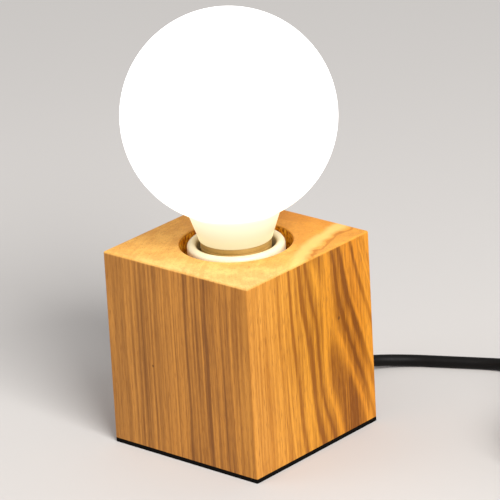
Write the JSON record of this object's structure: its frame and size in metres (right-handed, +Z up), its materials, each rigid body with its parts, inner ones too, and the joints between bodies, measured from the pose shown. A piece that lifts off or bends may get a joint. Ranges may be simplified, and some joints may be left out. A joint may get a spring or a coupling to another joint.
{
  "type": "bare bulb table lamp",
  "caption": "Square hardwood block lamp with a recessed screw lampholder, a bare opal globe bulb, and a black cord with an inline rocker switch and a flat-blade plug.",
  "frame": {"origin": "middle of the underside, where the lamp rests", "axes": "+Z up through the bulb's axis; +Y out of the back, where the cord leaves; +X to the right of the block"},
  "size_m": [0.2331, 0.1743, 0.197],
  "materials": {
    "foam_pad": "matte",
    "oiled_wood": "satin",
    "zinc_steel": "satin",
    "cream_plastic": "gloss",
    "white_ceramic": "gloss",
    "nickel_shell": "satin",
    "nickel_cap": "satin",
    "brass_parts": "satin",
    "opal_glass": "gloss",
    "collar_plastic": "matte",
    "black_glass": "gloss",
    "spreader_metal": "satin",
    "red_lead": "matte",
    "white_board": "matte",
    "led_phosphor": "satin",
    "green_board": "satin",
    "capacitor_sleeve": "gloss",
    "black_cord": "matte",
    "brown_core": "satin",
    "blue_core": "satin",
    "nylon_tie": "satin",
    "black_rubber": "matte",
    "black_plastic": "satin",
    "rocker_plastic": "gloss",
    "tie_plastic": "matte",
    "plug_rubber": "satin",
    "plated_blades": "satin"
  },
  "bodies": {
    "lamp": {"base_pad": "foam_pad", "wood_block": "oiled_wood", "threaded_rod": "zinc_steel", "rod_washer": "zinc_steel", "rod_nut": "zinc_steel", "lampholder_dome": "cream_plastic", "lampholder_shell": "cream_plastic", "contact_block": "white_ceramic", "screw_shell": "nickel_shell", "shell_rivets": "brass_parts", "centre_contact": "brass_parts", "live_terminal": "brass_parts", "neutral_terminal": "brass_parts", "terminal_screws": "zinc_steel", "inner_cord": "black_cord", "live_core": "brown_core", "neutral_core": "blue_core", "cord_stop": "nylon_tie", "strain_relief": "black_rubber", "switch_base": "black_plastic", "switch_cover": "black_plastic", "switch_terminals": "brass_parts", "switch_cores": "brown_core", "switch_sheath_ends": "black_cord", "switch_screws": "zinc_steel", "coil_ties": "tie_plastic", "plug_body": "plug_rubber", "plug_blades": "plated_blades", "cord_lead": "black_cord", "cord_link": "black_cord", "cord_coil": "black_cord", "cord_tail": "black_cord"},
    "bulb_lift": {"bulb_insulator": "black_glass", "bulb_centre_contact": "brass_parts"},
    "bulb": {"bulb_glass": "opal_glass", "bulb_collar": "collar_plastic", "bulb_cap": "nickel_cap", "heat_spreader": "spreader_metal", "board_leads": "red_lead", "led_board": "white_board", "led_chips": "led_phosphor", "driver_board": "green_board", "driver_capacitor": "capacitor_sleeve", "cap_lead": "red_lead"},
    "rocker": {"switch_rocker": "rocker_plastic"}
  },
  "joints": [
    {"name": "bulb_unscrew", "type": "hinge", "parent": "bulb_lift", "child": "bulb", "pos_m": [0, 0, 0.09], "axis": [0, 0, 1], "range_deg": [0, 1440]},
    {"name": "bulb_rise", "type": "slide", "parent": "lamp", "child": "bulb_lift", "axis": [0, 0, 1], "range_m": [0, 0.0146]},
    {"name": "rocker_tilt", "type": "hinge", "parent": "lamp", "child": "rocker", "pos_m": [0.1187, 0.1178, 0.0118], "axis": [0, 1, 0], "range_deg": [0, 24]}
  ],
  "couplings": [
    {"joint": "bulb_rise", "follows": "bulb_unscrew", "m_per_rad": 0.00057757}
  ]
}
